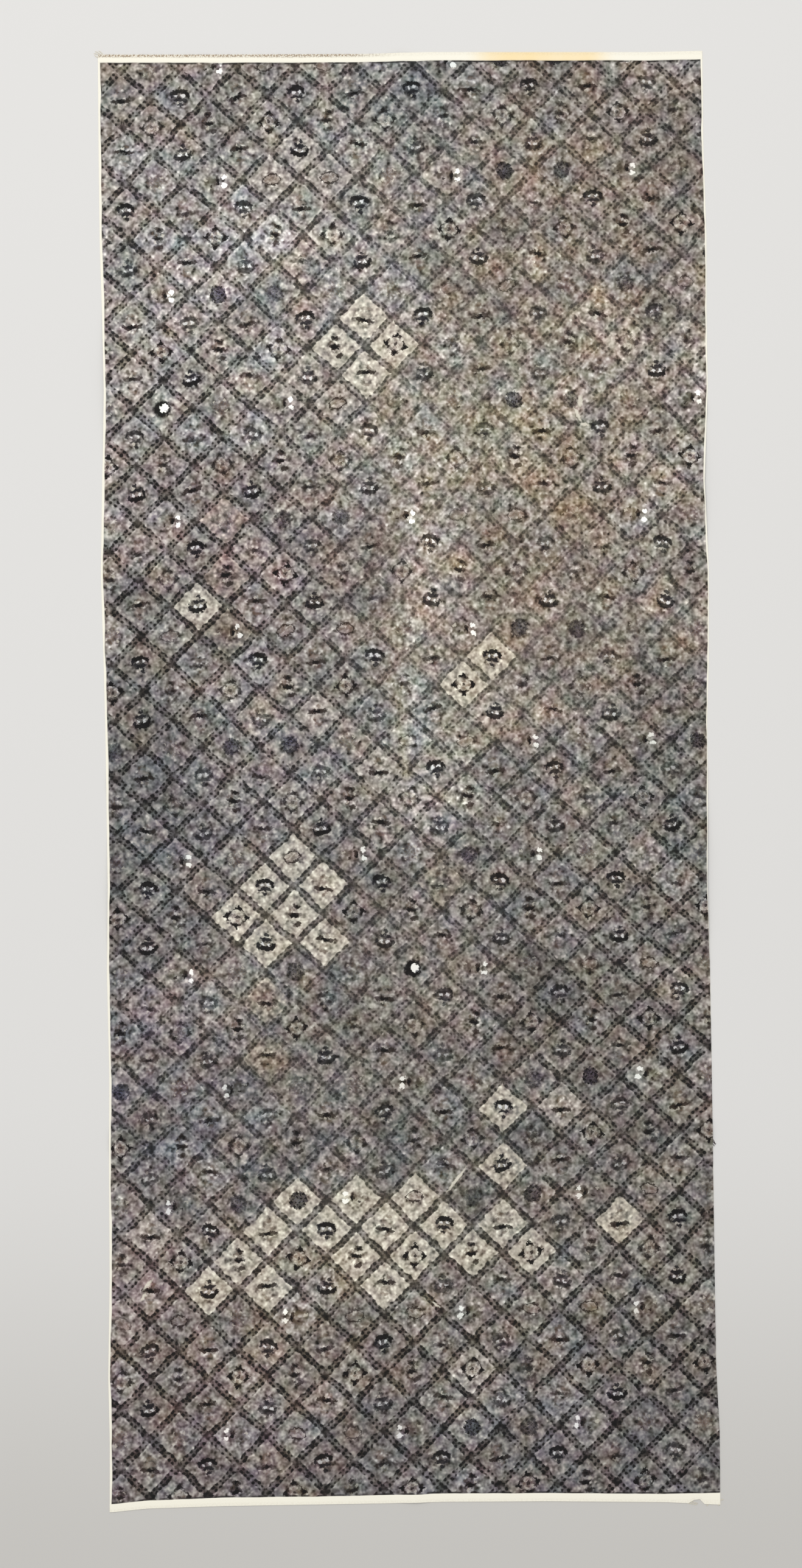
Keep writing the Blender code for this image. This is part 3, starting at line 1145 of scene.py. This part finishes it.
    # Crossings take turns: one solid and dark, the next hatched and lighter.
    corner = calculate("FLOORED_MODULO", calculate("FLOOR", u) + calculate("FLOOR", v) + 1.0, 2.0)
    crossing = rises(calculate("MAXIMUM", to_u, to_v), HALF_BAND + 0.012, HALF_BAND - 0.012)
    crossing_tone = blended(HATCHED_CROSSING_TONE, SOLID_CROSSING_TONE, corner) + grain * 0.8
    crossing_tone = crossing_tone + blot * 0.5 - bold * 0.04
    band_tone = blended(band_tone, crossing_tone, crossing * 0.80)
    band = rises(reach + grain * 0.9, 1.0 + BAND_EDGE / HALF_BAND, 1.0 - BAND_EDGE / HALF_BAND)
    band_strength = 0.96 - worn * (1.0 - pale * 0.6) * 0.44
    colour = mixed(colour, blend_ramp(band_tone, DYE_TONES), band * band_strength)

    # Washing with the creases' painted shade and highlights, wear and colour cast. Each diamond took the
    # dye a little differently.
    _, flecks = noise(laid, 20.0, 1.5)
    _, tinges = noise(laid, 34.0, 1.0)
    brownish = (parts_of(flecks)[0] - 0.5) * 0.28 + (to_right - 0.5) * 0.12 - 0.005
    greenish = parts_of(tinges)[0] - 0.5
    blush = vector_of(brownish, greenish * 0.26 - 0.0075, -brownish)
    depth = calculate("MAXIMUM", 1.90 - parts_of(colour)[1] * 3.2, 0.4) * (1.0 - pale * 0.35)
    change = calculate_vector("ADD", cast, blush)
    change = calculate_vector("MULTIPLY_ADD", change, vector_of(depth, depth, depth), (1.0, 1.0, 1.0))
    colour = calculate_vector("MULTIPLY", colour, change)
    # The gain holds the fading and the creases' painted shade and highlights.
    uneven = fading_and_crease_light * (0.86 + cloud * 0.28) * (0.83 + first * 0.34)
    uneven = blended(uneven, 1.05, pale * 0.65)
    scaled = add_node("ShaderNodeVectorMath", {0: colour, "Scale": uneven}, {"operation": "SCALE"})
    colour = Field(scaled.outputs["Vector"])

    # Pale streaks, frayed at their edges.
    _, fray = noise(laid, 190.0, 1.0)
    fray = calculate_vector("MULTIPLY_ADD", fray, (0.005, 0.005, 0.0), (-0.0025, -0.0025, 0.0))
    frayed = calculate_vector("ADD", laid, fray)
    marks = None
    for place_x, place_y, half_length, half_width, degrees in STREAKS:
        values = {
            "Vector": frayed,
            "Location": (place_x, place_y, 0.0),
            "Rotation": (0.0, 0.0, np.radians(degrees)),
            "Scale": (half_length, half_width, 1.0),
        }
        mapped = Field(add_node("ShaderNodeMapping", values, {"vector_type": "TEXTURE"}).outputs[0])
        away = Field(add_node("ShaderNodeVectorMath", {0: mapped}, {"operation": "LENGTH"}).outputs["Value"])
        marks = away if marks is None else calculate("MINIMUM", marks, away)
    streak = rises(marks, 1.35, 0.50)
    colour = mixed(colour, seen(226, 220, 204), streak * 0.84)

    # The undyed ends and selvedges. The dye's edge is dark in places, the top end's rim is darker brown
    # towards the left, and a rusty stain runs along its right half.
    side, end, _ = parts_of(laid)
    ragged_edge = (cloud - 0.5) * 0.004
    to_end = CLOTH_LENGTH / 2 - calculate("ABSOLUTE", end) + ragged_edge * 0.5
    to_side = CLOTH_WIDTH / 2 - calculate("ABSOLUTE", side) + ragged_edge
    pool = rises(calculate("ABSOLUTE", to_end - HEM_WIDTH - 0.0015), 0.0024, 0.0006)
    colour = mixed(colour, seen(26, 22, 22), pool * rises(blot, -0.10, 0.08) * 0.85)
    end_bare = rises(to_end, HEM_WIDTH + 0.0006, HEM_WIDTH - 0.0006)
    side_width = blended(0.0036, 0.0022, rises(side, -0.3, 0.3)) - rises(side * (1.0 - end), 0.3, 0.9) * 0.003
    side_bare = rises(to_side, side_width + 0.0008, side_width - 0.0006)
    at_top = calculate("GREATER_THAN", end, 0.0)
    rim = rises(to_end, 0.0072, 0.0030)
    rim_speckle, _ = noise(laid, 330.0, 1.0)
    rim_darkening = rim * (0.30 + rises(rim_speckle, 0.44, 0.60) * 0.60) * (0.12 + rises(side, 0.02, -0.12) * at_top * 0.88)
    rust = rises(calculate("ABSOLUTE", side - 0.245), 0.135, 0.075) * at_top * (0.45 + cloud * 0.5)
    bare = mixed(UNDYED, RUST, rust)
    bare = mixed(bare, RIM_BROWN, rim_darkening)
    colour = mixed(colour, bare, calculate("MAXIMUM", end_bare, side_bare))

    rough = 0.82 + cloud * 0.12
    finish_material(tree, colour, rough, woven_normal(laid, 0.35), Sheen_Weight=0.12, Specular_IOR_Level=0.25)
    return material


cloth.data.materials.append(batik_material())
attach(cloth, "root")
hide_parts("sarong_cloth")

# The loose threads and stitches
# The top end is oversewn with a brown thread for part of its length. A few threads have worked loose at
# the corners and along the right side. All are cotton, lie flat, and are held by the cloth's own weave.

THREAD_RADIUS = 0.00045
THREAD_SIDES = 6


def thread_mesh(name, paths, radius):
    """Threads of one mesh: a ring of points round each place of each path, closed at both ends.

    paths is an array of threads by points by 3. A ring's two directions are square to the path: one
    lies flat and the other is their cross product. The end rings shrink to a fifth.
    """
    count, points, _ = paths.shape
    along = np.gradient(paths, axis=1)
    along /= np.linalg.norm(along, axis=2, keepdims=True)
    flat = np.cross(along, [0.0, 0.0, 1.0])
    flat /= np.maximum(np.linalg.norm(flat, axis=2, keepdims=True), 1e-9)
    up = np.cross(flat, along)
    turn = np.linspace(0, 2 * np.pi, THREAD_SIDES, endpoint=False)
    width = np.full(points, radius)
    width[[0, -1]] = radius * 0.2
    ring = np.cos(turn)[:, None] * flat[:, :, None, :] + np.sin(turn)[:, None] * up[:, :, None, :]
    body = paths[:, :, None, :] + ring * width[None, :, None, None]
    verts = body.reshape(-1, 3)
    number = np.arange(count * points * THREAD_SIDES).reshape(count, points, THREAD_SIDES)
    following = np.roll(number, -1, axis=2)
    walls = np.stack([number[:, :-1], following[:, :-1], following[:, 1:], number[:, 1:]], axis=-1)
    walls = walls.reshape(-1, 4)
    caps = []
    for place, order in ((0, (0, 3, 2, 1)), (points - 1, (0, 1, 2, 3))):
        ends = number[:, place]
        caps.append(ends[:, [0, 1, 2, 3]][:, order])
        caps.append(ends[:, [3, 4, 5, 0]][:, order])
    return new_mesh(name, verts, np.concatenate([walls, *caps]))


def thread_material(name, colour, shade):
    """Twisted cotton thread: two tones in soft noise along it."""
    material, tree = new_material(name)
    place = Field(tree.nodes.new("ShaderNodeTexCoord").outputs["Object"])
    tone, _ = noise(place, 900.0, 1.0, "3D")
    finish_material(tree, mixed(colour, shade, tone), 0.9, Specular_IOR_Level=0.2)
    return material


STITCH_PITCH = 0.0062
STITCH_START = -0.508
STITCH_END = -0.070
stitch_x = np.arange(STITCH_START, STITCH_END, STITCH_PITCH)
hand = np.random.default_rng(5)
stitch_x = stitch_x + hand.uniform(-0.0012, 0.0012, len(stitch_x))
lean = hand.uniform(0.0006, 0.0022, len(stitch_x))
share = np.linspace(-1, 1, 7)
over_x = stitch_x[:, None] + lean[:, None] * share
end_y = CLOTH_LENGTH / 2 + table_read(stitch_x, END_WAVES, 1)[:, None]
over_y = end_y - 0.0016 + 0.0018 * share
over_z = HEM_THICKNESS + 0.0002 - 0.0011 * np.clip(share, 0, 1) ** 2 - 0.0004 * share**2
stitch_paths = np.stack([over_x, over_y, np.broadcast_to(over_z, over_x.shape)], axis=-1)
stitches = thread_mesh("top_hem_stitches", stitch_paths, THREAD_RADIUS)
stitches.data.materials.append(thread_material("brown_thread", seen(190, 162, 130), seen(150, 122, 96)))
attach(stitches, "root")


def loose_paths(routes, points=14):
    """Threads along short routes of three places a, b and c, each a quadratic curve.

    A point at share t is (1-t)^2 a + 2t(1-t) b + t^2 c.
    """
    t = np.linspace(0, 1, points)[None, :, None]
    a, b, c = (np.array(routes)[:, [k], :] for k in range(3))
    return (1 - t) ** 2 * a + 2 * t * (1 - t) * b + t**2 * c


# Where the loose threads start, bend and end, from the corner or the side that they come from.
TOP_LEFT = np.array([-0.5209, 1.2560, 0.0])
BOTTOM_RIGHT = np.array([0.5258, -1.2490, 0.0])
RIGHT_SIDE = np.array([0.5195, -0.6280, 0.0])
corner_routes = TOP_LEFT + np.array([
    [[0.004, -0.001, 0.0012], [-0.002, 0.004, 0.0010], [-0.007, 0.003, 0.0006]],
    [[0.006, 0.000, 0.0012], [0.000, 0.006, 0.0010], [-0.005, 0.007, 0.0006]],
    [[0.009, 0.000, 0.0012], [0.006, 0.006, 0.0010], [0.001, 0.008, 0.0006]],
    [[0.001, -0.004, 0.0012], [-0.004, -0.002, 0.0010], [-0.006, 0.001, 0.0006]],
])
hem_routes = BOTTOM_RIGHT + np.array([
    [[-0.075, 0.0010, 0.0010], [-0.055, -0.0030, 0.0008], [-0.040, -0.0060, 0.0006]],
    [[-0.060, 0.0015, 0.0010], [-0.048, -0.0005, 0.0008], [-0.038, -0.0042, 0.0006]],
    [[-0.022, 0.0010, 0.0010], [-0.018, -0.0050, 0.0008], [-0.024, -0.0085, 0.0006]],
    [[-0.010, 0.0010, 0.0010], [-0.006, -0.0050, 0.0008], [-0.001, -0.0080, 0.0006]],
    [[-0.004, 0.0030, 0.0010], [0.002, 0.0010, 0.0008], [0.006, 0.0030, 0.0006]],
])
side_routes = RIGHT_SIDE + np.array([
    [[-0.006, 0.012, 0.0012], [0.001, 0.004, 0.0010], [0.004, -0.004, 0.0006]],
    [[-0.006, 0.008, 0.0012], [0.000, 0.001, 0.0010], [0.005, -0.007, 0.0006]],
    [[-0.005, 0.004, 0.0012], [0.001, -0.001, 0.0010], [0.006, -0.005, 0.0006]],
    [[-0.006, 0.001, 0.0012], [0.000, -0.003, 0.0010], [0.003, -0.009, 0.0006]],
])
pale_paths = loose_paths(np.concatenate([corner_routes, hem_routes]))
pale_threads = thread_mesh("pale_loose_threads", pale_paths, THREAD_RADIUS)
pale_threads.data.materials.append(thread_material("undyed_thread", seen(240, 234, 214), seen(206, 196, 172)))
dark_threads = thread_mesh("dark_loose_threads", loose_paths(side_routes), THREAD_RADIUS)
dark_threads.data.materials.append(thread_material("dyed_thread", seen(92, 82, 80), seen(60, 52, 56)))
for piece in (pale_threads, dark_threads):
    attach(piece, "root")

# The floor, the light and the camera
# A plain pale studio floor with painted shade that darkens it a little towards the viewer, one broad
# soft light from above and behind, and a camera straight above the cloth, turned by the cloth's slight slant.

FLOOR_HALF_SIZE = 4.0
# The floor's own pale tone, and a darker one that is painted shade towards the viewer.
FLOOR_LIGHT = seen(222, 221, 219)
FLOOR_PAINTED_SHADE = seen(200, 198, 194)
FLOOR_LINES = 9
floor_side = np.linspace(-FLOOR_HALF_SIZE, FLOOR_HALF_SIZE, FLOOR_LINES)
floor_x, floor_y = np.meshgrid(floor_side, floor_side)
floor_points = np.stack([floor_x, floor_y, np.full_like(floor_x, -0.0001)], axis=-1).reshape(-1, 3)
floor_number = np.arange(FLOOR_LINES**2).reshape(FLOOR_LINES, FLOOR_LINES)
floor_faces = np.stack(
    [floor_number[:-1, :-1], floor_number[:-1, 1:], floor_number[1:, 1:], floor_number[1:, :-1]], axis=-1
).reshape(-1, 4)
floor = new_mesh("studio_floor", floor_points, floor_faces)


def floor_material():
    """Matt paper: one pale tone that sinks smoothly to a darker one along Y, as painted shade."""
    material, tree = new_material("studio_floor")
    place = Field(tree.nodes.new("ShaderNodeTexCoord").outputs["Object"])
    _, along, _ = parts_of(place)
    finish_material(tree, mixed(FLOOR_LIGHT, FLOOR_PAINTED_SHADE, rises(along, -0.50, -1.40)), 0.9)
    return material


floor.data.materials.append(floor_material())

world = bpy.data.worlds.new("studio")
world.use_nodes = True
world.node_tree.nodes["Background"].inputs["Color"].default_value = (1.0, 0.995, 0.985, 1.0)
world.node_tree.nodes["Background"].inputs["Strength"].default_value = 0.66
bpy.context.scene.world = world

lamp = bpy.data.lights.new("softbox", "AREA")
lamp.shape = "SQUARE"
lamp.size = 4.0
lamp.energy = 208.0
softbox = bpy.data.objects.new("softbox", lamp)
softbox.location = (-0.8, 2.6, 6.4)
softbox.rotation_euler = (np.radians(-22), np.radians(-7), 0.0)
bpy.context.scene.collection.objects.link(softbox)

FRAME_HEIGHT_AT_CLOTH = 2.705
CAMERA_LENS_MM = 70.0
CAMERA_SENSOR_MM = 36.0
CLOTH_SLANT_DEGREES = 0.62
FRAME_CENTRE = (-0.0116, -0.0062)
view = bpy.data.cameras.new("camera")
view.lens = CAMERA_LENS_MM
view.sensor_width = CAMERA_SENSOR_MM
camera = bpy.data.objects.new("camera", view)
camera.location = (*FRAME_CENTRE, FRAME_HEIGHT_AT_CLOTH * CAMERA_LENS_MM / CAMERA_SENSOR_MM)
camera.rotation_euler = (0.0, 0.0, np.radians(-CLOTH_SLANT_DEGREES))
bpy.context.scene.collection.objects.link(camera)
bpy.context.scene.camera = camera
bpy.context.scene.view_settings.view_transform = "Standard"
